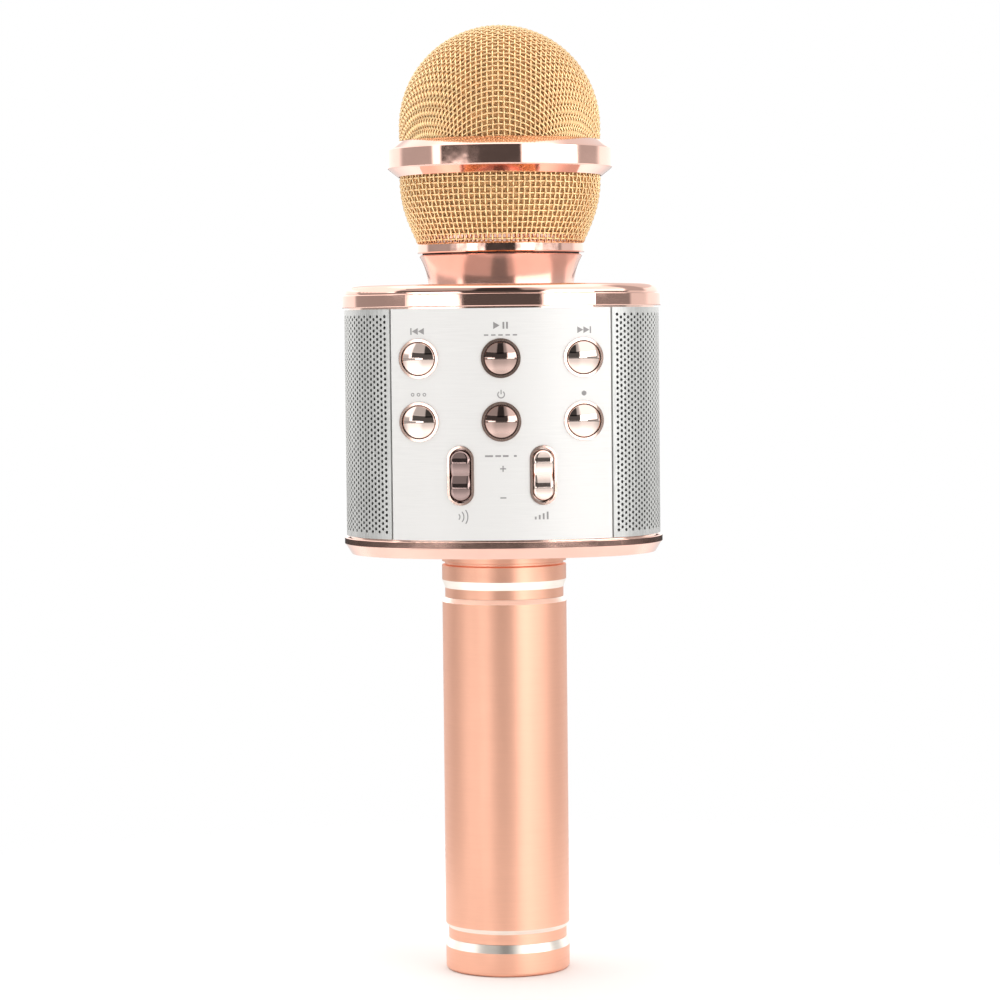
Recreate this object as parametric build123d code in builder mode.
"""Hand-held karaoke microphone with a built-in side-firing speaker box.

Frame: +Z runs up the handle's axis, the control panel faces -Y, right is +X, and the origin is the
centre of the handle's flat foot. All sizes are in millimetres.
"""

import os
from collections import namedtuple
from math import asin, cos, sin, sqrt

from build123d import *

os.makedirs("parts", exist_ok=True)

# ================================================================== DRIVING DIMENSIONS
# handle
HANDLE_R = 16.15  # outside radius of the grip and the end cap
GROOVE_R = 15.4  # floor of the turned grooves
TUBE_BORE_R = 14.25
CAP_BORE_R = 13.7  # smooth stand-in for the threaded bore at the foot of the tube
CAP_TOP = 8.2
TUBE_TOP = 97.3
FERRULE_TOP = 108.8
SEAM = 0.05  # gap at each end of the tube

# speaker box: an oval of four arcs
BOX_HALF_W = 41.1
BOX_HALF_D = 31.2
FRONT_R = 60.0  # radius of the front and rear arcs
BOX_Z0 = 113.2  # top of the bottom plate
BOX_Z1 = 172.3  # underside of the top plate
BOX_H = BOX_Z1 - BOX_Z0
TOP_Z1 = 178.0  # top of the top plate
SKIN_GAP = 0.45  # gap between the skins and the plates
SKIN_T = 1.4  # front and rear panel thickness
WALL_IN = 3.2  # inner face of the moulded shells, measured in from the outline
WALL_LAP = 0.5  # how far features run into the shell's side wall to merge
END_LAP = 1.5  # height above the box's floor, or below its ceiling, where features merge
PANEL_HALF_W = 27.7
WIRE_HOLE_R = 6.0

# screws: rings of three through plates and bosses
FERRULE_SCREW_R = 9.5  # radius of the ring of ferrule screws
COLLAR_SCREW_R = 12.0
FERRULE_SEAT_Z = 106.2  # face the ferrule screw heads bear on
COLLAR_SEAT_Z = 182.0
CLEAR_R = 1.35  # clearance hole
PILOT_R = 1.15
JOIN_Y = 6.0  # seat of the screws that join the shells
POST_X, POST_Z1, POST_Z2 = 18.6, 167.7, 118.0
JOIN_POSTS = [(POST_X, POST_Z1), (-POST_X, POST_Z1), (POST_X, POST_Z2), (-POST_X, POST_Z2)]

# speakers
SPEAKER_Z = 142.75
BAFFLE_X0, BAFFLE_X1 = 25.2, 27.0  # inner and outer faces of the baffles
SPEAKER_R = 17.5
EAR_SCREW = 19.6  # speaker screws, above and below the speaker's middle
EAR_T = 1.2
EAR_SCREWS_UP = [(0, EAR_SCREW), (0, -EAR_SCREW)]

# controls
KEY_X = 20.8
KEY_Z1, KEY_Z2 = 159.3, 143.4  # upper and lower rows of round keys
KEYS = {
    "previous_button": (-KEY_X, KEY_Z1),
    "play_button": (0.0, KEY_Z1),
    "next_button": (KEY_X, KEY_Z1),
    "mode_button": (-KEY_X, KEY_Z2),
    "power_button": (0.0, KEY_Z2),
    "record_button": (KEY_X, KEY_Z2),
}
KEY_SPOTS = list(KEYS.values())
KEY_R = 4.1
KEY_HOLE_R = 4.35
KEY_RIM_R = 4.95  # outside of the raised rim round each key
ROCKER_X, ROCKER_Z = 10.4, 129.9
ROCKER_L, ROCKER_W = 12.9, 5.2
RIM_L, RIM_W = ROCKER_L + 2.0, ROCKER_W + 1.5  # outside of the rims round the rockers
PIVOT_DEPTH = -3.9  # rocker pivot, in the rocker's own frame
ROCKER_SWITCH = 4.6  # distance of each rocker switch from the rocker's middle

# circuit boards
BOARD_T = 1.2
BOARD_Y = 19.6  # front face of the control board lies at y = -BOARD_Y
BOARD_POSTS = [(10.4, 166.0), (-10.4, 166.0), (21.0, 120.4), (-21.0, 120.4)]
BOARD_HOLE_R = 1.0
BOARD_PILOT_R = 0.8
SWITCH_H = 2.0
PLUNGER_TIP = 22.3  # as -y
MAIN_POST_X, MAIN_POST_Y = 13.5, 8.0
MAIN_POSTS = [(MAIN_POST_X, MAIN_POST_Y), (-MAIN_POST_X, MAIN_POST_Y)]
MAIN_BOARD_Z = 122.0  # underside of the main board
PORT_Z = MAIN_BOARD_Z + BOARD_T

# ports in the rear, low down: charging socket, headphone/line jack, memory card
CHARGE_X, JACK_X, CARD_X = -11.0, 0.0, 11.2
CHARGE_Z = PORT_Z + 1.4
JACK_Z = PORT_Z + 2.9
CARD_Z = PORT_Z + 0.9

# head
COLLAR_TOP = 185.8
HEAD_Z0 = 186.2
THREAD_R = 18.6  # head spigot, running in a bore 0.05 larger
MESH_Z0 = 188.7  # top of the base ring's rim
MESH_T = 0.6
MESH_SEAM = 0.03  # gap between the mesh and the base ring
BALL_R = 26.1
BALL_TOP = 245.0
DOME_Z = BALL_TOP - BALL_R  # height at which the straight side turns into the dome
BAND_Z = 210.5

# clip volumes that reach past the box on every side
FAR = 60
CLIP_Z0, CLIP_H = 100, 90

# ------------------------------------------------------------------ derived
FRONT_C = FRONT_R - BOX_HALF_D  # distance of the front and rear arcs' centres from the middle
SIDE_R = (BOX_HALF_W**2 + FRONT_C**2 - FRONT_R**2) / (2 * (BOX_HALF_W - FRONT_R))
SIDE_C = BOX_HALF_W - SIDE_R
CENTRES = sqrt(SIDE_C**2 + FRONT_C**2)
UX, UY = SIDE_C / CENTRES, FRONT_C / CENTRES  # direction from a front arc's centre to its end


# ================================================================== HELPERS
def surface_y(x):
    """Depth of the oval at a distance x from the middle, as a positive number."""
    x = abs(x)
    if x <= FRONT_R * UX:
        return sqrt(FRONT_R**2 - x * x) - FRONT_C
    return sqrt(SIDE_R**2 - (x - SIDE_C) ** 2)


def oval(inset, z):
    """Outline of the speaker box, moved in by inset, at height z."""
    arc_r = FRONT_R - inset
    join_x, join_y = arc_r * UX, arc_r * UY - FRONT_C
    half_w, half_d = BOX_HALF_W - inset, BOX_HALF_D - inset
    with BuildSketch(Plane.XY.offset(z), mode=Mode.PRIVATE) as outline:
        with BuildLine():
            ThreePointArc((-join_x, -join_y), (0, -half_d), (join_x, -join_y))
            ThreePointArc((join_x, -join_y), (half_w, 0), (join_x, join_y))
            ThreePointArc((join_x, join_y), (0, half_d), (-join_x, join_y))
            ThreePointArc((-join_x, join_y), (-half_w, 0), (-join_x, -join_y))
        make_face()
    return outline.sketch


def skin(outer, inner, gap=SKIN_GAP):
    """A thin wall round the box between two insets, short of the plates by gap."""
    with BuildPart(mode=Mode.PRIVATE) as wall:
        extrude(oval(outer, BOX_Z0 + gap), amount=BOX_H - 2 * gap)
        extrude(oval(inner, BOX_Z0), amount=BOX_H, mode=Mode.SUBTRACT)
    return wall.part


def block(x0, x1, y0, y1, z0, z1):
    """A plain block between two corners, outside any builder."""
    return Pos((x0 + x1) / 2, (y0 + y1) / 2, (z0 + z1) / 2) * Box(
        x1 - x0, y1 - y0, z1 - z0, mode=Mode.PRIVATE
    )


def slab(x0=-FAR, x1=FAR, y0=-FAR, y1=FAR):
    """A block taller than the box, for clipping."""
    return block(x0, x1, y0, y1, CLIP_Z0, CLIP_Z0 + CLIP_H)


def turned(points):
    """A body turned about Z from (radius, height) points."""
    with BuildPart(mode=Mode.PRIVATE) as body:
        with BuildSketch(Plane.XZ):
            with BuildLine():
                Polyline(*points, close=True)
            make_face()
        revolve(axis=Axis.Z)
    return body.part


def ring_of_three(radius):
    """Three places round the axis, the first at +Y."""
    return PolarLocations(radius, 3, start_angle=90)


Screw = namedtuple("Screw", "head_r head_h shank_r length cross_l cross_w cross_depth")


def screws(seat, places, screw, facing):
    """Cross-slotted screws on a seat plane; facing is +1 for heads on the normal's side, else -1."""
    with BuildPart(mode=Mode.PRIVATE) as group:
        with BuildSketch(seat):
            with places():
                Circle(screw.head_r)
        extrude(amount=facing * screw.head_h)
        with BuildSketch(seat):
            with places():
                Circle(screw.shank_r)
        extrude(amount=-facing * screw.length)
        with BuildSketch(seat.offset(facing * screw.head_h)):
            with places():
                Rectangle(screw.cross_l, screw.cross_w)
                Rectangle(screw.cross_w, screw.cross_l)
        extrude(amount=-facing * screw.cross_depth, mode=Mode.SUBTRACT)
    return group.part


def rocker_plane(sign, seen_from_side=False):
    """A rocker's own frame, on the panel's surface.

    Face on: x along the panel, y up, z straight out of the panel.
    From the side: x up, y out of the panel, z along the pivot.
    """
    phi = asin(ROCKER_X / FRONT_R)
    origin = (sign * ROCKER_X, -surface_y(ROCKER_X), ROCKER_Z)
    along = (cos(phi), sign * sin(phi), 0)
    out = (sign * sin(phi), -cos(phi), 0)
    if seen_from_side:
        return Plane(origin=origin, x_dir=(0, 0, 1), z_dir=along)
    return Plane(origin=origin, x_dir=along, z_dir=out)


KEY_CUT_Y, KEY_CUT_L = 18, 20  # start, as -y, and length of prisms through the front wall
ROCKER_CUT = 6  # reach of the rocker prisms either side of the surface


def control_prisms(key_radius, slot_length, slot_width):
    """Prisms through the front wall: a round one at each key, a slot at each rocker."""
    with BuildPart(mode=Mode.PRIVATE) as prisms:
        with BuildSketch(Plane.XZ.offset(KEY_CUT_Y)):
            with Locations(*KEY_SPOTS):
                Circle(key_radius)
        extrude(amount=KEY_CUT_L)
        for sign in (1, -1):
            with BuildSketch(rocker_plane(sign).offset(-ROCKER_CUT)):
                SlotOverall(slot_length, slot_width, rotation=90)
            extrude(amount=2 * ROCKER_CUT)
    return prisms.part


def save(part, name):
    part.label = name
    export_step(part, f"parts/{name}.step")


# ================================================================== HANDLE
LOW_GROOVE_TOP = 10.9
HIGH_GROOVE_TOP = 99.7
BRIGHT_TUBE = 1.2  # height of the bright-cut bevels at the ends of the tube
BRIGHT_END = 2.1  # height of the bright-cut bevels on the cap and the ferrule
SLIDE_GAP = 0.03  # between the ferrule's spigot and the tube
CAP_GAP = 0.05  # between the cap's spigot and the tube
FERRULE_Z0 = 88.0
FERRULE_BORE_R = 12.0
FERRULE_HOLE_R = 5.0
SPIGOT_TOP, CAP_HOLLOW_R, CAP_FLOOR = 13.5, 11.0, 5.0
SEAL_GROOVE_R, SEAL_Z0, SEAL_Z1 = 12.8, 9.0, 10.2
FOOT_ROUND = 0.9

SPRING_TOP, SPRING_R, SPRING_PITCH, SPRING_WIRE = 21.9, 4.6, 2.2, 0.45
SPRING_CLEAR = 0.05  # above and below the spring
CELL_Z0, CELL_R, CELL_H = 22.0, 9.2, 64.2
BUTTON_R, BUTTON_H = 2.8, 0.9
SLEEVE_Z0, SLEEVE_H, SLEEVE_R = 18.0, 69.6, 10.6
RIB_MID_R, RIB_L, RIB_W = 12.3, 3.5, 1.4


def handle_tube():
    """Drawn tube, bright-cut bevels at both grooves."""
    z0, z1 = CAP_TOP + SEAM, TUBE_TOP - SEAM
    return turned(
        [
            (CAP_BORE_R, z0),
            (GROOVE_R, z0),
            (GROOVE_R, LOW_GROOVE_TOP),
            (HANDLE_R, LOW_GROOVE_TOP + BRIGHT_TUBE),
            (HANDLE_R, z1 - BRIGHT_TUBE),
            (GROOVE_R, z1),
            (TUBE_BORE_R, z1),
            (TUBE_BORE_R, 17.0),
            (CAP_BORE_R, 16.6),
        ]
    )


def handle_ferrule():
    """Joins the tube to the speaker box; its spigot sits inside the tube."""
    spigot_r = TUBE_BORE_R - SLIDE_GAP
    with BuildPart() as ferrule:
        add(
            turned(
                [
                    (FERRULE_BORE_R, FERRULE_Z0),
                    (spigot_r, FERRULE_Z0),
                    (spigot_r, TUBE_TOP),
                    (GROOVE_R, TUBE_TOP),
                    (GROOVE_R, HIGH_GROOVE_TOP),
                    (HANDLE_R, HIGH_GROOVE_TOP + BRIGHT_END),
                    (HANDLE_R, 105.6),
                    (GROOVE_R, 105.9),
                    (GROOVE_R, 106.4),
                    (HANDLE_R, 106.6),
                    (HANDLE_R, FERRULE_TOP),
                    (FERRULE_HOLE_R, FERRULE_TOP),
                    (FERRULE_HOLE_R, FERRULE_SEAT_Z),
                    (FERRULE_BORE_R, FERRULE_SEAT_Z),
                ]
            )
        )
        with BuildSketch(Plane.XY.offset(FERRULE_SEAT_Z)):
            with ring_of_three(FERRULE_SCREW_R):
                Circle(CLEAR_R)
        extrude(amount=4.0, mode=Mode.SUBTRACT)
    return ferrule.part


def end_cap():
    """Screws into the foot of the tube and carries the battery spring."""
    spigot_r = CAP_BORE_R - CAP_GAP
    with BuildPart() as cap:
        add(
            turned(
                [
                    (0, 0),
                    (HANDLE_R, 0),
                    (HANDLE_R, CAP_TOP - BRIGHT_END),
                    (GROOVE_R, CAP_TOP),
                    (spigot_r, CAP_TOP),
                    (spigot_r, SEAL_Z0),
                    (SEAL_GROOVE_R, SEAL_Z0),
                    (SEAL_GROOVE_R, SEAL_Z1),
                    (spigot_r, SEAL_Z1),
                    (spigot_r, SPIGOT_TOP),
                    (CAP_BORE_R - 0.5, SPIGOT_TOP + 0.4),
                    (CAP_HOLLOW_R, SPIGOT_TOP + 0.4),
                    (CAP_HOLLOW_R, CAP_FLOOR),
                    (0, CAP_FLOOR),
                ]
            )
        )
        fillet(cap.faces().sort_by(Axis.Z)[0].edges(), FOOT_ROUND)
    return cap.part


def cap_o_ring():
    """Sealing ring round the cap's spigot."""
    with BuildPart() as ring:
        with BuildSketch(Plane.XZ):
            with Locations((13.24, (SEAL_Z0 + SEAL_Z1) / 2)):
                RectangleRounded(0.8, 1.1, 0.3)
        revolve(axis=Axis.Z)
    return ring.part


def battery_spring():
    """A helix standing on the cap's floor."""
    with BuildPart() as spring:
        with BuildLine() as coil:
            Helix(
                pitch=SPRING_PITCH,
                height=SPRING_TOP - CAP_FLOOR - 2 * (SPRING_WIRE + SPRING_CLEAR),
                radius=SPRING_R,
                center=(0, 0, CAP_FLOOR + SPRING_WIRE + SPRING_CLEAR),
            )
        with BuildSketch(Plane(origin=coil.line @ 0, z_dir=coil.line % 0)):
            Circle(SPRING_WIRE)
        sweep(path=coil.line)
    return spring.part


def battery_cell():
    """One cell with a button terminal, on the axis."""
    with BuildPart() as cell:
        with BuildSketch(Plane.XY.offset(CELL_Z0)):
            Circle(CELL_R)
        extrude(amount=CELL_H)
        fillet(cell.edges().filter_by(GeomType.CIRCLE), 0.8)
        with BuildSketch(Plane.XY.offset(CELL_Z0 + CELL_H)):
            Circle(BUTTON_R)
        extrude(amount=BUTTON_H)
    return cell.part


def battery_sleeve():
    """A moulded tube with six ribs that centre it in the handle."""
    with BuildPart() as sleeve:
        with BuildSketch(Plane.XY.offset(SLEEVE_Z0)):
            Circle(SLEEVE_R)
            with PolarLocations(RIB_MID_R, 6):
                Rectangle(RIB_L, RIB_W)
            Circle(CELL_R + 0.15, mode=Mode.SUBTRACT)
        extrude(amount=SLEEVE_H)
    return sleeve.part


# ================================================================== PLATES
PLATE_LIP = 0.2  # how far the plates stand proud of the panel
PLATE_RIM = 3.0  # inset of the hollows
PLATE_SOFT = 0.25
BOTTOM_CORE_R = 16.5  # solid core left in the bottom plate
TOP_CORE_R = BOTTOM_CORE_R + 2
BEVEL_H, BEVEL_IN = 2.5, 1.6
BOTTOM_HOLLOW = 1.4
TOP_RIM_H, TOP_GROOVE_H = 3.3, 0.2
TOP_GROOVE_IN, LID_IN, LID_ROUND = 0.9, 0.35, 2.0
TOP_HOLLOW = 3.7


def hollow(z, depth, core_r):
    """The hollow of a plate, outside a round core."""
    with BuildPart(mode=Mode.PRIVATE) as pocket:
        extrude(oval(PLATE_RIM, z), amount=depth)
        with BuildSketch(Plane.XY.offset(z)):
            Circle(core_r)
        extrude(amount=depth, mode=Mode.SUBTRACT)
    return pocket.part


def bottom_plate():
    """Polished rim, bevelled underneath, hollowed from above."""
    rim_z = FERRULE_TOP + BEVEL_H
    with BuildPart() as plate:
        extrude(oval(-PLATE_LIP, rim_z), amount=BOX_Z0 - rim_z)
        levels = plate.edges().group_by(Axis.Z)
        fillet(levels[0] + levels[-1], PLATE_SOFT)
        loft(
            sections=[oval(BEVEL_IN, FERRULE_TOP), oval(-PLATE_LIP + PLATE_SOFT, rim_z)],
            ruled=True,
        )
        add(hollow(BOX_Z0 - BOTTOM_HOLLOW, BOTTOM_HOLLOW, BOTTOM_CORE_R), mode=Mode.SUBTRACT)
        with BuildSketch(Plane.XY.offset(FERRULE_TOP)):
            Circle(WIRE_HOLE_R)
            with ring_of_three(FERRULE_SCREW_R):
                Circle(CLEAR_R)
        extrude(amount=6, mode=Mode.SUBTRACT)
    return plate.part


def top_plate():
    """Polished rim below and a rounded lid above, split by a thin groove; hollowed from below."""
    groove_z = BOX_Z1 + TOP_RIM_H
    lid_z = groove_z + TOP_GROOVE_H
    with BuildPart() as plate:
        extrude(oval(-PLATE_LIP, BOX_Z1), amount=TOP_RIM_H)
        levels = plate.edges().group_by(Axis.Z)
        fillet(levels[0] + levels[-1], PLATE_SOFT)
        extrude(oval(TOP_GROOVE_IN, groove_z), amount=TOP_GROOVE_H)
        with BuildPart(mode=Mode.PRIVATE) as lid:
            extrude(oval(LID_IN, lid_z), amount=TOP_Z1 - lid_z)
            fillet(lid.faces().sort_by(Axis.Z)[-1].edges(), LID_ROUND)
        add(lid.part)
        add(hollow(BOX_Z1, TOP_HOLLOW, TOP_CORE_R), mode=Mode.SUBTRACT)
        with BuildSketch(Plane.XY.offset(BOX_Z1)):
            Circle(7.0)
            with ring_of_three(COLLAR_SCREW_R):
                Circle(CLEAR_R)
        extrude(amount=8, mode=Mode.SUBTRACT)
    return plate.part


# ================================================================== SHELLS
END_WALL = 2.2  # thickness of the shells' top and bottom walls
CONE_HOLE_R = 15.9
SIDE_OPENING_H, SIDE_OPENING_ROUND = 46.0, 8.0
SPEAKER_PILOT_R = 0.85
POST_R = 3.0
FRONT_POST_L = 10
PILOT_Y = 8  # depth of the joining pilots in the front posts
WELL_R = 2.2  # wells for the joining screws in the rear posts
COLLAR_BOSS_R, COLLAR_BOSS_L = 2.9, 8.0
FERRULE_BOSS_R, FERRULE_BOSS_H = 2.7, 5.4


def carcass():
    """The moulded box, before it is split on the XZ plane into front and rear halves."""
    with BuildPart() as box:
        extrude(oval(SKIN_T, BOX_Z0), amount=BOX_H)
        extrude(oval(WALL_IN, BOX_Z0 + END_WALL), amount=BOX_H - 2 * END_WALL, mode=Mode.SUBTRACT)
        # baffles that carry the two speakers
        with BuildPart(mode=Mode.PRIVATE) as baffles:
            extrude(oval(WALL_IN - WALL_LAP, BOX_Z0 + END_LAP), amount=BOX_H - 2 * END_LAP)
            add(slab(x0=-BAFFLE_X0, x1=BAFFLE_X0), mode=Mode.SUBTRACT)
            add(slab(x0=BAFFLE_X1), mode=Mode.SUBTRACT)
            add(slab(x1=-BAFFLE_X1), mode=Mode.SUBTRACT)
        add(baffles.part)
        # sound openings: round through the baffles, long through the outer wall
        with BuildSketch(Plane.YZ):
            with Locations((0, SPEAKER_Z)):
                Circle(CONE_HOLE_R)
        extrude(amount=FAR, both=True, mode=Mode.SUBTRACT)
        for x in (BAFFLE_X1, -FAR):
            with BuildSketch(Plane.YZ.offset(x)):
                with Locations((0, SPEAKER_Z)):
                    RectangleRounded(2 * SPEAKER_R + 1.0, SIDE_OPENING_H, SIDE_OPENING_ROUND)
            extrude(amount=FAR - BAFFLE_X1, mode=Mode.SUBTRACT)
        # pilot holes for the speaker screws
        with BuildSketch(Plane.YZ):
            with Locations((0, SPEAKER_Z + EAR_SCREW), (0, SPEAKER_Z - EAR_SCREW)):
                Circle(SPEAKER_PILOT_R)
        extrude(amount=BAFFLE_X1, both=True, mode=Mode.SUBTRACT)
        # joining posts along Y, merged into the top and bottom walls
        with BuildSketch(Plane.XZ):
            with Locations(*JOIN_POSTS):
                Circle(POST_R)
        extrude(amount=FRONT_POST_L)
        with BuildPart(mode=Mode.PRIVATE) as rear_posts:
            with BuildSketch(Plane.XZ):
                with Locations(*JOIN_POSTS):
                    Circle(POST_R)
            extrude(amount=-40)
            extrude(oval(WALL_IN - WALL_LAP, CLIP_Z0), amount=CLIP_H, mode=Mode.INTERSECT)
        add(rear_posts.part)
        with BuildSketch(Plane.XZ.offset(PILOT_Y)):
            with Locations(*JOIN_POSTS):
                Circle(PILOT_R)
        extrude(amount=-40 - PILOT_Y, mode=Mode.SUBTRACT)
        with BuildSketch(Plane.XZ.offset(-JOIN_Y)):
            with Locations(*JOIN_POSTS):
                Circle(WELL_R)
        extrude(amount=-40, mode=Mode.SUBTRACT)
        # bosses, then pilot holes, for the collar and ferrule screws
        with BuildSketch(Plane.XY.offset(BOX_Z1 - COLLAR_BOSS_L)):
            with ring_of_three(COLLAR_SCREW_R):
                Circle(COLLAR_BOSS_R)
        extrude(amount=COLLAR_BOSS_L - END_LAP)
        with BuildSketch(Plane.XY.offset(BOX_Z0 + END_LAP)):
            with ring_of_three(FERRULE_SCREW_R):
                Circle(FERRULE_BOSS_R)
        extrude(amount=FERRULE_BOSS_H)
        with BuildSketch(Plane.XY.offset(BOX_Z1 - COLLAR_BOSS_L - 1)):
            with ring_of_three(COLLAR_SCREW_R):
                Circle(PILOT_R)
        extrude(amount=12, mode=Mode.SUBTRACT)
        with BuildSketch(Plane.XY.offset(BOX_Z0 - 1)):
            with ring_of_three(FERRULE_SCREW_R):
                Circle(PILOT_R)
        extrude(amount=10, mode=Mode.SUBTRACT)
        # wire holes, top and bottom
        with BuildSketch(Plane.XY.offset(CLIP_Z0)):
            Circle(WIRE_HOLE_R)
        extrude(amount=CLIP_H, mode=Mode.SUBTRACT)
    return box.part


RIM_UP, RIM_BACK = 0.35, 2.0  # the rims run from above the panel to this depth in the shell wall
WINDOW_R, WINDOW_L, WINDOW_W = 5.5, 16.4, 8.0  # windows for the keys and the rockers
STEP_LAP = 0.3  # overlap of the thin steps past the windows
EAR_DEPTH = -4.2  # middle of the rocker ears, in the rocker's frame
EAR_IN, EAR_OUT = 4.1, 6.2  # ears, along the pivot from the rocker's middle
PIN_R, PIN_HALF_L = 0.6, 5.7
BOARD_POST_R = 1.9


def rocker_ears(sign):
    """Two ears behind the wall that hold a rocker's pin."""
    side = rocker_plane(sign, seen_from_side=True)
    with BuildPart(mode=Mode.PRIVATE) as ears:
        with BuildSketch(side):
            with Locations((0, EAR_DEPTH)):
                RectangleRounded(3.6, 3.8, 0.6)
        extrude(amount=EAR_OUT, both=True)
        with BuildSketch(side):
            with Locations((0, EAR_DEPTH)):
                Rectangle(6, 6)
        extrude(amount=EAR_IN, both=True, mode=Mode.SUBTRACT)
        extrude(oval(SKIN_T + 0.3, CLIP_Z0), amount=CLIP_H, mode=Mode.INTERSECT)
    return ears.part


def control_surround(prisms, front_inset):
    """The part of the prisms between an inset and the back of the rims."""
    with BuildPart(mode=Mode.PRIVATE) as surround:
        add(prisms)
        extrude(oval(front_inset, CLIP_Z0), amount=CLIP_H, mode=Mode.INTERSECT)
        extrude(oval(RIM_BACK, CLIP_Z0), amount=CLIP_H, mode=Mode.SUBTRACT)
    return surround.part


def front_shell(box):
    """Front half: openings for keys and rockers, ears for the rocker pins, board posts."""
    with BuildPart() as shell:
        add(box)
        add(slab(y0=0), mode=Mode.SUBTRACT)
        for sign in (1, -1):
            add(rocker_ears(sign))
        # two ledges under the front of the main board
        with BuildSketch(Plane.XY.offset(BOX_Z0 + END_LAP)):
            with Locations((MAIN_POST_X - 0.1, -6.0), (-MAIN_POST_X + 0.1, -6.0)):
                Circle(BOARD_POST_R)
        extrude(amount=MAIN_BOARD_Z - BOX_Z0 - END_LAP)
        # posts for the control board
        with BuildPart(mode=Mode.PRIVATE) as posts:
            with BuildSketch(Plane.XZ.offset(BOARD_Y)):
                with Locations(*BOARD_POSTS):
                    Circle(BOARD_POST_R)
            extrude(amount=12)
            extrude(oval(WALL_IN - WALL_LAP, CLIP_Z0), amount=CLIP_H, mode=Mode.INTERSECT)
        add(posts.part)
        with BuildSketch(Plane.XZ.offset(BOARD_Y)):
            with Locations(*BOARD_POSTS):
                Circle(BOARD_PILOT_R)
        extrude(amount=4.2, mode=Mode.SUBTRACT)
        add(control_prisms(WINDOW_R, WINDOW_L, WINDOW_W), mode=Mode.SUBTRACT)
        # raised rims, standing through the panel from a thin step in the wall
        rims = control_prisms(KEY_RIM_R, RIM_L, RIM_W)
        steps = control_prisms(
            WINDOW_R + STEP_LAP, WINDOW_L + 2 * STEP_LAP, WINDOW_W + 2 * STEP_LAP
        )
        add(control_surround(rims, -RIM_UP))
        add(control_surround(steps, SKIN_T))
        # holes the keys and the rockers move in
        add(control_prisms(KEY_HOLE_R, ROCKER_L + 0.9, ROCKER_W + 0.4), mode=Mode.SUBTRACT)
        # pin bores
        for sign in (1, -1):
            with BuildSketch(rocker_plane(sign, seen_from_side=True)):
                with Locations((0, PIVOT_DEPTH)):
                    Circle(PIN_R + 0.02)
            extrude(amount=PIN_HALF_L + 0.1, both=True, mode=Mode.SUBTRACT)
    return shell.part


PORT_CUT_Y, PORT_CUT_L = 20, 15  # the port cuts start here and run out through the rear


def rear_shell(box):
    """Rear half: windows for the ports and posts for the main board."""
    with BuildPart() as shell:
        add(box)
        add(slab(y1=0), mode=Mode.SUBTRACT)
        with BuildSketch(Plane.XZ.offset(-PORT_CUT_Y)):
            with Locations((CHARGE_X, CHARGE_Z)):
                Rectangle(8.4, 3.6)
            with Locations((JACK_X, PORT_Z + 2.7)):
                Rectangle(7.0, 6.2)
            with Locations((CARD_X, CARD_Z)):
                Rectangle(13.2, 2.6)
        extrude(amount=-PORT_CUT_L, mode=Mode.SUBTRACT)
        with BuildSketch(Plane.XY.offset(BOX_Z0 + END_LAP)):
            with Locations(*MAIN_POSTS):
                Circle(2.0)
        extrude(amount=MAIN_BOARD_Z - BOX_Z0 - END_LAP)
        with BuildSketch(Plane.XY.offset(MAIN_BOARD_Z)):
            with Locations(*MAIN_POSTS):
                Circle(BOARD_PILOT_R)
        extrude(amount=-5, mode=Mode.SUBTRACT)
    return shell.part


# ================================================================== PANELS, GRILLES, CLOTHS
PANEL_CLEAR = 0.05  # between the panel and the rims
GRILLE_D0, GRILLE_D1 = 0.35, 1.0  # insets of the faces
CLOTH_D0, CLOTH_D1 = 1.1, 1.35
GRILLE_X = PANEL_HALF_W + 0.45
CLOTH_X = PANEL_HALF_W + 0.6


def front_panel():
    """A thin curved fascia with a hole for every key."""
    with BuildPart() as panel:
        add(skin(0, SKIN_T))
        add(slab(x0=-PANEL_HALF_W, x1=PANEL_HALF_W, y1=0), mode=Mode.INTERSECT)
        holes = control_prisms(
            KEY_RIM_R + PANEL_CLEAR, RIM_L + 2 * PANEL_CLEAR, RIM_W + 2 * PANEL_CLEAR
        )
        add(holes, mode=Mode.SUBTRACT)
    return panel.part


def rear_panel():
    """The same fascia, pierced for the ports and the screw wells."""
    with BuildPart() as panel:
        add(skin(0, SKIN_T))
        add(slab(x0=-PANEL_HALF_W, x1=PANEL_HALF_W, y0=0), mode=Mode.INTERSECT)
        with BuildSketch(Plane.XZ.offset(-PORT_CUT_Y)):
            with Locations((CHARGE_X, CHARGE_Z)):
                RectangleRounded(8.6, 3.6, 1.0)
            with Locations((JACK_X, JACK_Z)):
                Circle(2.9)
            with Locations((CARD_X, CARD_Z)):
                RectangleRounded(12.6, 2.2, 0.5)
            with Locations(*JOIN_POSTS):
                Circle(WELL_R)
        extrude(amount=-PORT_CUT_L, mode=Mode.SUBTRACT)
    return panel.part


def side_grille(sign):
    """Grille wrapped round one end of the box."""
    end = slab(x0=GRILLE_X) if sign > 0 else slab(x1=-GRILLE_X)
    with BuildPart() as grille:
        add(skin(GRILLE_D0, GRILLE_D1))
        add(end, mode=Mode.INTERSECT)
    return grille.part


def dust_cloths():
    """Cloths behind the grilles."""
    with BuildPart() as cloths:
        add(skin(CLOTH_D0, CLOTH_D1, gap=1.5))
        add(slab(x0=-CLOTH_X, x1=CLOTH_X), mode=Mode.SUBTRACT)
    return cloths.part


# ================================================================== SPEAKERS
MAGNET_X, MAGNET_H, MAGNET_R = 8.2, 8.0, 9.4
MAGNET_FACE = MAGNET_X + MAGNET_H

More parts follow.
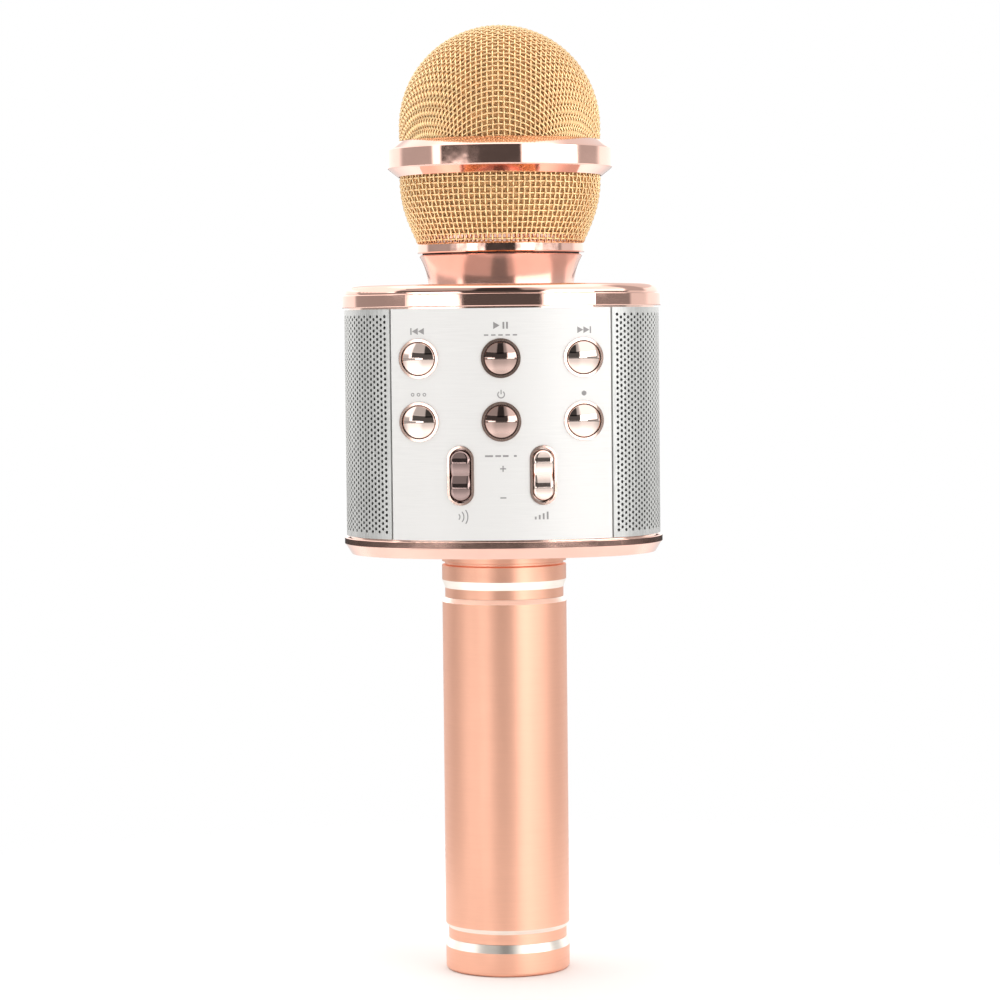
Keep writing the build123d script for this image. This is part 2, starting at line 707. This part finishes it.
# (distance outwards from the middle of the box, radius)
FRAME_PROFILE = [
    (BAFFLE_X1, 15.5), (BAFFLE_X1, SPEAKER_R), (BAFFLE_X1 + EAR_T, SPEAKER_R),
    (BAFFLE_X1 + EAR_T, 15.0), (BAFFLE_X1 - 0.2, 14.4), (17.2, 9.6), (17.2, 3.2),
    (MAGNET_FACE, 3.2), (MAGNET_FACE, 10.4), (25.4, 15.5),
]  # fmt: skip
CONE_PROFILE = [
    (23.6, 0), (23.4, 2.2), (22.4, 4.6), (20.6, 5.2), (26.9, 12.2),
    (27.7, 13.2), (27.5, 14.4), (27.1, 14.2), (27.2, 13.4), (26.4, 12.5),
    (19.6, 5.0), (19.6, 4.2), (21.9, 3.8), (22.8, 1.9), (23.0, 0),
]  # fmt: skip


def speaker_face(sign):
    """Plane across a speaker: x along Y, normal outwards."""
    return Plane(origin=(0, 0, SPEAKER_Z), x_dir=(0, sign, 0), z_dir=(sign, 0, 0))


def speaker_turned(points, sign):
    """A body turned about the speakers' axis from (distance outwards, radius) points."""
    with BuildPart(mode=Mode.PRIVATE) as body:
        with BuildSketch(
            Plane(origin=(0, 0, SPEAKER_Z), x_dir=(sign, 0, 0), z_dir=(0, -sign, 0))
        ):
            with BuildLine():
                Polyline(*points, close=True)
            make_face()
        revolve(axis=Axis((0, 0, SPEAKER_Z), (sign, 0, 0)))
    return body.part


def speaker_frame(sign):
    """Pressed frame with two mounting ears."""
    with BuildPart() as frame:
        add(speaker_turned(FRAME_PROFILE, sign))
        with BuildPart(mode=Mode.PRIVATE) as ears:
            with BuildSketch(speaker_face(sign).offset(BAFFLE_X1)):
                SlotOverall(45.4, 10.5, rotation=90)
                Circle(16.4, mode=Mode.SUBTRACT)
                with Locations(*EAR_SCREWS_UP):
                    Circle(1.2, mode=Mode.SUBTRACT)
            extrude(amount=EAR_T)
        add(ears.part)
    return frame.part


def speaker_magnet(sign):
    with BuildPart() as magnet:
        with BuildSketch(speaker_face(sign).offset(MAGNET_X)):
            Circle(MAGNET_R)
        extrude(amount=MAGNET_H)
        chamfer(magnet.edges().filter_by(GeomType.CIRCLE), 0.5)
    return magnet.part


def speaker_cone(sign):
    """Cone with its dust cap."""
    return speaker_turned(CONE_PROFILE, sign)


# ================================================================== SCREWS
# head radius, head height, shank radius, length, cross length, cross width, cross depth
SPEAKER_SCREW = Screw(1.9, 0.9, 0.82, 3.6, 2.0, 0.5, 0.5)
BOARD_SCREW = Screw(1.6, 1.0, 0.77, 4.6, 1.8, 0.4, 0.5)
SHELL_SCREW = Screw(2.0, 1.6, 1.12, 13.6, 2.4, 0.6, 0.9)
FERRULE_SCREW = SHELL_SCREW._replace(head_r=2.2, length=12.6)
COLLAR_SCREW = FERRULE_SCREW._replace(length=17.0)


def speaker_screws():
    """Two to each frame."""
    with BuildPart() as group:
        for sign in (1, -1):
            seat = speaker_face(sign).offset(BAFFLE_X1 + EAR_T)
            add(screws(seat, lambda: Locations(*EAR_SCREWS_UP), SPEAKER_SCREW, 1))
    return group.part


def shell_screws():
    """Join the shells, at the bottom of the wells in the rear shell."""
    return screws(Plane.XZ.offset(-JOIN_Y), lambda: Locations(*JOIN_POSTS), SHELL_SCREW, -1)


def board_screws():
    """Four behind the control board and two on top of the main board."""
    control_seat = Plane.XZ.offset(BOARD_Y - BOARD_T)
    main_seat = Plane.XY.offset(PORT_Z)
    with BuildPart() as group:
        add(screws(control_seat, lambda: Locations(*BOARD_POSTS), BOARD_SCREW, -1))
        add(screws(main_seat, lambda: Locations(*MAIN_POSTS), BOARD_SCREW, 1))
    return group.part


def ferrule_screws():
    """Up through the ferrule into the box."""
    seat = Plane.XY.offset(FERRULE_SEAT_Z)
    return screws(seat, lambda: ring_of_three(FERRULE_SCREW_R), FERRULE_SCREW, -1)


def collar_screws():
    """Down through the collar into the box."""
    seat = Plane.XY.offset(COLLAR_SEAT_Z)
    return screws(seat, lambda: ring_of_three(COLLAR_SCREW_R), COLLAR_SCREW, 1)


# ================================================================== CONTROLS
ROCKER_SWITCH_X = 9.1  # the pegs lean inwards, so the switches sit closer than the rockers
ROCKER_SWITCHES = [
    (sx * ROCKER_SWITCH_X, ROCKER_Z + sz * ROCKER_SWITCH) for sx in (1, -1) for sz in (1, -1)
]

DOME_R, DOME_UP = 8.5, 1.15  # the keys' domes and their height above the panel
KEY_FRONT = 34  # key blanks reach this far forward, as -y, before they are domed
FLANGE_R, FLANGE_T = 5.1, 0.7
FLANGE_FLAT_X = 24.2
MID_KEY_BACK, SIDE_KEY_BACK = 28.1, 22.9  # rear faces of the key flanges, as -y

ROCKER_BACK = -3.2  # back of the rocker's body, in its own frame
ROCKER_END, ROCKER_CREST, ROCKER_CREASE = 0.2, 1.05, 0.25  # heights of its front face
CREST_AT = 3.4  # distance of each crest from the rocker's middle
ROCKER_SOFT = 0.9  # rounding of the domes' outer edges


def control_board():
    with BuildPart() as board:
        with BuildSketch(Plane.XZ.offset(BOARD_Y)):
            with Locations((0, 142.9)):
                RectangleRounded(49.0, 51.6, 1.5)
            with Locations(*BOARD_POSTS):
                Circle(BOARD_HOLE_R, mode=Mode.SUBTRACT)
        extrude(amount=-BOARD_T)
    return board.part


def switch_housings():
    """A square housing under each key and each end of the rockers."""
    with BuildPart() as housings:
        with BuildSketch(Plane.XZ.offset(BOARD_Y)):
            with Locations(*KEY_SPOTS, *ROCKER_SWITCHES):
                RectangleRounded(4.5, 4.5, 0.4)
        extrude(amount=SWITCH_H)
        with BuildSketch(Plane.XZ.offset(BOARD_Y + 0.5)):
            with Locations(*KEY_SPOTS):
                Circle(1.05)
        extrude(amount=SWITCH_H, mode=Mode.SUBTRACT)
        # the rocker switches' own plungers stay still, so they are part of the housing
        with BuildSketch(Plane.XZ.offset(BOARD_Y + SWITCH_H)):
            with Locations(*ROCKER_SWITCHES):
                Circle(1.0)
        extrude(amount=0.5)
    return housings.part


def round_key(x, z):
    """A domed cap through the panel, a flange behind it, and a stem to the switch."""
    phi = asin(x / FRONT_R)
    sunk = DOME_R - DOME_UP  # the dome's centre lies this far behind the surface
    centre = (x - sunk * sin(phi), -surface_y(x) + sunk * cos(phi), z)
    back = MID_KEY_BACK if x == 0 else SIDE_KEY_BACK
    with BuildPart() as key:
        with BuildSketch(Plane.XZ.offset(back)):
            with Locations((x, z)):
                Circle(KEY_R)
        extrude(amount=KEY_FRONT - back)
        with Locations(centre):
            Sphere(DOME_R, mode=Mode.INTERSECT)
        fillet(key.edges().filter_by(lambda edge: edge.center().Y < -back - 0.3), 0.25)
        # flange, cut flat on the outboard side so that the key can't turn
        with BuildPart(mode=Mode.PRIVATE) as flange:
            with BuildSketch(Plane.XZ.offset(back)):
                with Locations((x, z)):
                    Circle(FLANGE_R)
            extrude(amount=FLANGE_T)
            add(slab(x0=-FLANGE_FLAT_X, x1=FLANGE_FLAT_X, y1=0), mode=Mode.INTERSECT)
        add(flange.part)
        with BuildSketch(Plane.XZ.offset(PLUNGER_TIP)):
            with Locations((x, z)):
                Circle(1.5)
        extrude(amount=back - PLUNGER_TIP)
    return key.part


def key_plunger(x, z):
    """The moving plunger of a key's switch."""
    with BuildPart() as plunger:
        with BuildSketch(Plane.XZ.offset(PLUNGER_TIP)):
            with Locations((x, z)):
                Circle(1.0)
        extrude(amount=-1.4)
    return plunger.part


def on_dome_rim(edge, face):
    """True for the outer edges of a rocker's domes, but not the crease between them."""
    middle = face.to_local_coords(edge.center())
    return middle.Z > 0.15 and (abs(middle.X) > 1.0 or abs(middle.Y) > 2.0)


def rocker(sign):
    """Two domed ends on one pivoted key, with a peg under each end."""
    face = rocker_plane(sign)
    side = rocker_plane(sign, seen_from_side=True)
    half = ROCKER_L / 2
    with BuildPart() as key:
        with BuildSketch(side):
            with BuildLine():
                Line((-half, ROCKER_BACK), (half, ROCKER_BACK))
                Line((half, ROCKER_BACK), (half, ROCKER_END))
                ThreePointArc((half, ROCKER_END), (CREST_AT, ROCKER_CREST), (0, ROCKER_CREASE))
                ThreePointArc((0, ROCKER_CREASE), (-CREST_AT, ROCKER_CREST), (-half, ROCKER_END))
                Line((-half, ROCKER_END), (-half, ROCKER_BACK))
            make_face()
        extrude(amount=ROCKER_W / 2, both=True)
        with BuildSketch(face.offset(ROCKER_BACK)):
            SlotOverall(ROCKER_L, ROCKER_W, rotation=90)
        extrude(amount=6, mode=Mode.INTERSECT)
        fillet([edge for edge in key.edges() if on_dome_rim(edge, face)], ROCKER_SOFT)
        # flange behind the rim
        with BuildSketch(face.offset(-3.5)):
            SlotOverall(15.2, 7.0, rotation=90)
        extrude(amount=0.75)
        # pivot lug and two pegs
        with BuildSketch(side):
            with Locations((0, PIVOT_DEPTH)):
                Circle(1.7)
            with Locations((0, -3.1)):
                Rectangle(3.4, 1.6)
        extrude(amount=2.6, both=True)
        with BuildSketch(face.offset(-7.7)):
            with Locations((0, ROCKER_SWITCH), (0, -ROCKER_SWITCH)):
                Circle(1.1)
        extrude(amount=4.8)
        with BuildSketch(side):
            with Locations((0, PIVOT_DEPTH)):
                Circle(PIN_R + 0.05)
        extrude(amount=6, both=True, mode=Mode.SUBTRACT)
    return key.part


def rocker_pins():
    with BuildPart() as pins:
        for sign in (1, -1):
            with BuildSketch(rocker_plane(sign, seen_from_side=True)):
                with Locations((0, PIVOT_DEPTH)):
                    Circle(PIN_R)
            extrude(amount=PIN_HALF_L, both=True)
    return pins.part


# ================================================================== MAIN BOARD AND SOCKETS
# each socket's inner and outer ends, as y
CHARGE_Y0, CHARGE_Y1 = 23.6, 29.2
JACK_Y0, JACK_Y1 = 15.6, 28.0
CARD_Y0, CARD_Y1 = 15.8, 26.8
JACK_R = 1.8
JACK_NOSE_R, JACK_NOSE_L = 2.45, 2.4


def main_board():
    with BuildPart() as board:
        with BuildSketch(Plane.XY.offset(MAIN_BOARD_Z)):
            with Locations((0, 6.6)):
                RectangleRounded(42.0, 35.4, 1.5)
            with Locations(*MAIN_POSTS):
                Circle(BOARD_HOLE_R, mode=Mode.SUBTRACT)
            with Locations((0, 0)):
                Circle(3.0, mode=Mode.SUBTRACT)
        extrude(amount=BOARD_T)
    return board.part


def charging_socket():
    with BuildPart() as socket:
        add(block(CHARGE_X - 3.8, CHARGE_X + 3.8, CHARGE_Y0, CHARGE_Y1, PORT_Z, PORT_Z + 2.8))
        fillet(socket.edges().filter_by(Axis.Y).group_by(Axis.Z)[-1], 0.6)
        with BuildSketch(Plane.XZ.offset(-CHARGE_Y1)):
            with Locations((CHARGE_X, CHARGE_Z)):
                RectangleRounded(6.9, 1.9, 0.5)
        extrude(amount=4.8, mode=Mode.SUBTRACT)
        # contact tongue
        add(block(CHARGE_X - 2.4, CHARGE_X + 2.4, 24.2, 28.4, CHARGE_Z - 0.3, CHARGE_Z + 0.3))
    return socket.part


def aux_socket():
    """Headphone/line jack: a block with a round nose, bored from the rear."""
    with BuildPart() as socket:
        add(block(JACK_X - 3.1, JACK_X + 3.1, JACK_Y0, JACK_Y1, PORT_Z, PORT_Z + 5.4))
        with BuildSketch(Plane.XZ.offset(-JACK_Y1)):
            with Locations((JACK_X, JACK_Z)):
                Circle(JACK_NOSE_R)
        extrude(amount=-JACK_NOSE_L)
        with BuildSketch(Plane.XZ.offset(-JACK_Y1 - JACK_NOSE_L)):
            with Locations((JACK_X, JACK_Z)):
                Circle(JACK_R)
        extrude(amount=14.0, mode=Mode.SUBTRACT)
    return socket.part


def card_socket():
    with BuildPart() as socket:
        add(block(CARD_X - 6.4, CARD_X + 6.4, CARD_Y0, CARD_Y1, PORT_Z, PORT_Z + 1.9))
        with BuildSketch(Plane.XZ.offset(-CARD_Y1)):
            with Locations((CARD_X, PORT_Z + 0.95)):
                Rectangle(11.3, 1.0)
        extrude(amount=10.4, mode=Mode.SUBTRACT)
    return socket.part


# ================================================================== NECK AND CAPSULE
COLLAR_R0, COLLAR_RM, COLLAR_R1 = 18.9, 19.6, 21.1  # foot, middle and top of the flare
COLLAR_HOLE_R = 7.0
COLLAR_FLOOR = 180.0
CAPSULE_Z0, CAPSULE_H, CAPSULE_R = 204.25, 7.6, 8.05

# (radius, height)
HOLDER_PROFILE = [
    (4.6, COLLAR_FLOOR), (15.4, COLLAR_FLOOR), (15.4, COLLAR_SEAT_Z), (8.2, COLLAR_SEAT_Z),
    (6.4, 184.0), (6.4, 197.5), (11.6, 201.0), (11.6, 211.0),
    (10.3, 211.0), (10.3, 202.6), (8.0, 201.4), (4.6, 199.4),
]  # fmt: skip
CUSHION_PROFILE = [
    (6.6, 202.7), (10.25, 202.7), (10.25, 210.6), (8.1, 210.6), (8.1, 204.2), (6.6, 204.2),
]  # fmt: skip


def neck_collar():
    """Flared collar between the box and the head."""
    bore_r = THREAD_R + 0.05
    with BuildPart() as collar:
        with BuildSketch(Plane.XZ):
            with BuildLine():
                foot = Line((COLLAR_HOLE_R, TOP_Z1), (COLLAR_R0, TOP_Z1))
                ThreePointArc(foot @ 1, (COLLAR_RM, 182.0), (COLLAR_R1, COLLAR_TOP - 0.3))
                Polyline(
                    (COLLAR_R1, COLLAR_TOP - 0.3),
                    (COLLAR_R1 - 0.3, COLLAR_TOP),
                    (bore_r, COLLAR_TOP),
                    (bore_r, 180.7),
                    (17.0, 180.7),
                    (17.0, COLLAR_FLOOR),
                    (COLLAR_HOLE_R, COLLAR_FLOOR),
                    (COLLAR_HOLE_R, TOP_Z1),
                )
            make_face()
        revolve(axis=Axis.Z)
        with BuildSketch(Plane.XY.offset(TOP_Z1)):
            with ring_of_three(COLLAR_SCREW_R):
                Circle(CLEAR_R)
        extrude(amount=2.5, mode=Mode.SUBTRACT)
    return collar.part


def capsule_holder():
    """Flanged stem with a cup on top."""
    with BuildPart() as holder:
        add(turned(HOLDER_PROFILE))
        with BuildSketch(Plane.XY.offset(COLLAR_FLOOR)):
            with ring_of_three(COLLAR_SCREW_R):
                Circle(CLEAR_R)
        extrude(amount=2.5, mode=Mode.SUBTRACT)
    return holder.part


def capsule_cushion():
    return turned(CUSHION_PROFILE)


def mic_capsule():
    with BuildPart() as capsule:
        with BuildSketch(Plane.XY.offset(CAPSULE_Z0)):
            Circle(CAPSULE_R)
        extrude(amount=CAPSULE_H)
        chamfer(capsule.faces().sort_by(Axis.Z)[-1].edges(), 0.5)
        # sound holes in the cover
        with BuildSketch(Plane.XY.offset(CAPSULE_Z0 + CAPSULE_H)):
            with PolarLocations(4.6, 8):
                Circle(0.8)
            Circle(1.0)
        extrude(amount=-0.8, mode=Mode.SUBTRACT)
    return capsule.part


def lead(points, radius):
    """A round wire through the points."""
    with BuildPart(mode=Mode.PRIVATE) as wire:
        with BuildLine() as run:
            Spline(*points)
        with BuildSketch(Plane(origin=run.line @ 0, z_dir=run.line % 0)):
            Circle(radius)
        sweep(path=run.line)
    return wire.part


def capsule_lead():
    """From the capsule down to the main board."""
    points = [
        (0, 0, 203.9), (0.6, 0.3, 196.0), (-0.9, 0.6, 176.0), (1.2, -0.4, 150.0), (0, 0, 124.5),
    ]  # fmt: skip
    return lead(points, 1.1)


def battery_leads():
    """Two leads from the battery up to the main board."""
    points = [(2.2, 0, 88.0), (3.2, 1.0, 100.0), (2.4, 0, 112.0), (3.4, 0, 121.5)]
    with BuildPart() as leads:
        for sign in (1, -1):
            add(lead([(sign * x, y, z) for x, y, z in points], 0.8))
    return leads.part


# ================================================================== GRILLE HEAD
BAND_R = 29.1
BASKET_R0 = 21.6  # radius of the mesh where it leaves the base ring
BASKET_MID_R, BASKET_MID_Z, BASKET_TOP_Z = 25.0, 197.2, 205.0
BASKET_RISE = [(0.45, 1.0), (0.0, 1.0)]  # end tangents of the basket, going up
BASKET_FALL = [(0.0, -1.0), (-0.45, -1.0)]  # and coming down
FOAM_GAP, FOAM_T = 0.25, 2.4
FOAM_Z0 = MESH_Z0 + 2.5


def head_washer():
    """Washer under the head, with a small gap above and below."""
    gap = 0.03
    with BuildPart() as washer:
        with BuildSketch(Plane.XY.offset(COLLAR_TOP + gap)):
            Circle(20.3)
            Circle(18.9, mode=Mode.SUBTRACT)
        extrude(amount=HEAD_Z0 - COLLAR_TOP - 2 * gap)
    return washer.part


def head_base_ring():
    """The visible rim, the spigot that screws into the collar, and the lip that holds the mesh."""
    return turned(
        [
            (17.2, 180.9),
            (THREAD_R - 0.4, 180.9),
            (THREAD_R, 181.3),
            (THREAD_R, HEAD_Z0),
            (21.4, HEAD_Z0),
            (21.7, HEAD_Z0 + 0.3),
            (21.7, MESH_Z0 - 0.35),
            (21.4, MESH_Z0),
            (20.7, MESH_Z0),
            (20.9, MESH_Z0 + 2.2),
            (19.6, MESH_Z0 + 2.2),
            (17.2, MESH_Z0 - 1.0),
        ]
    )


def grille_lower():
    """Lower basket: narrow at the base ring, upright where it enters the band."""
    inner_r = BALL_R - MESH_T
    foot_z, top_z = MESH_Z0 + MESH_SEAM, BAND_Z - SEAM
    with BuildPart() as basket:
        with BuildSketch(Plane.XZ):
            with BuildLine():
                outside = Spline(
                    (BASKET_R0, foot_z),
                    (BASKET_MID_R, BASKET_MID_Z),
                    (BALL_R, BASKET_TOP_Z),
                    tangents=BASKET_RISE,
                )
                Line(outside @ 1, (BALL_R, top_z))
                Line((BALL_R, top_z), (inner_r, top_z))
                Line((inner_r, top_z), (inner_r, BASKET_TOP_Z))
                inside = Spline(
                    (inner_r, BASKET_TOP_Z),
                    (BASKET_MID_R - MESH_T * 0.96, BASKET_MID_Z + 0.14),
                    (BASKET_R0 - MESH_T * 1.05, foot_z),
                    tangents=BASKET_FALL,
                )
                Line(inside @ 1, outside @ 0)
            make_face()
        revolve(axis=Axis.Z)
    return basket.part


def grille_upper():
    """Upper dome."""
    inner_r = BALL_R - MESH_T
    foot_z = BAND_Z + SEAM
    with BuildPart() as dome:
        with BuildSketch(Plane.XZ):
            with BuildLine():
                Line((inner_r, foot_z), (BALL_R, foot_z))
                Line((BALL_R, foot_z), (BALL_R, DOME_Z))
                CenterArc((0, DOME_Z), BALL_R, 0, 90)
                Line((0, BALL_TOP), (0, BALL_TOP - MESH_T))
                CenterArc((0, DOME_Z), inner_r, 0, 90)
                Line((inner_r, DOME_Z), (inner_r, foot_z))
            make_face()
        revolve(axis=Axis.Z)
    return dome.part


def grille_band():
    """A bevelled ring round the joint of the two meshes, which also stops the head rolling."""
    # (radius, height above the band's middle), lower half upwards
    lower = [
        (BALL_R + 0.02, -4.5),
        (BALL_R + 0.35, -4.5),
        (BAND_R - 0.3, -2.65),
        (BAND_R, -2.3),
    ]
    upper = [(radius, -height) for radius, height in reversed(lower)]
    return turned([(radius, BAND_Z + height) for radius, height in lower + upper])


def foam_liner():
    """Foam inside the ball."""
    outer_r = BALL_R - MESH_T - FOAM_GAP
    inner_r = outer_r - FOAM_T
    mid_r = BASKET_MID_R - MESH_T - FOAM_GAP
    top = BALL_TOP - MESH_T - FOAM_GAP
    with BuildPart() as foam:
        with BuildSketch(Plane.XZ):
            with BuildLine():
                outside = Spline(
                    (21.5, FOAM_Z0),
                    (mid_r, BASKET_MID_Z + 0.2),
                    (outer_r, BASKET_TOP_Z),
                    tangents=BASKET_RISE,
                )
                Line(outside @ 1, (outer_r, DOME_Z))
                CenterArc((0, DOME_Z), outer_r, 0, 90)
                Line((0, top), (0, top - FOAM_T))
                CenterArc((0, DOME_Z), inner_r, 0, 90)
                Line((inner_r, DOME_Z), (inner_r, BASKET_TOP_Z))
                inside = Spline(
                    (inner_r, BASKET_TOP_Z),
                    (mid_r - FOAM_T, BASKET_MID_Z + 0.8),
                    (19.2, FOAM_Z0),
                    tangents=BASKET_FALL,
                )
                Line(inside @ 1, outside @ 0)
            make_face()
        revolve(axis=Axis.Z)
    return foam.part


# ================================================================== BUILD AND SAVE
# pieces saved under their functions' names
SINGLE_PIECES = [
    handle_tube, handle_ferrule, end_cap, cap_o_ring, battery_spring, battery_cell,
    battery_sleeve, bottom_plate, top_plate, front_panel, rear_panel, dust_cloths,
    speaker_screws, shell_screws, control_board, switch_housings, board_screws, rocker_pins,
    main_board, charging_socket, aux_socket, card_socket, neck_collar, capsule_holder,
    capsule_cushion, mic_capsule, capsule_lead, battery_leads, ferrule_screws, collar_screws,
    head_washer, head_base_ring, grille_lower, grille_upper, grille_band, foam_liner,
]  # fmt: skip
for piece in SINGLE_PIECES:
    save(piece(), piece.__name__)

whole_box = carcass()
save(front_shell(whole_box), "front_shell")
save(rear_shell(whole_box), "rear_shell")

for side_name, side_sign in (("left", -1), ("right", 1)):
    save(side_grille(side_sign), f"{side_name}_side_grille")
    for piece in (speaker_frame, speaker_magnet, speaker_cone):
        save(piece(side_sign), f"{side_name}_{piece.__name__}")

for key_name, (key_x, key_z) in KEYS.items():
    save(round_key(key_x, key_z), key_name)
    save(key_plunger(key_x, key_z), key_name.replace("button", "plunger"))

save(rocker(-1), "echo_rocker")
save(rocker(1), "volume_rocker")
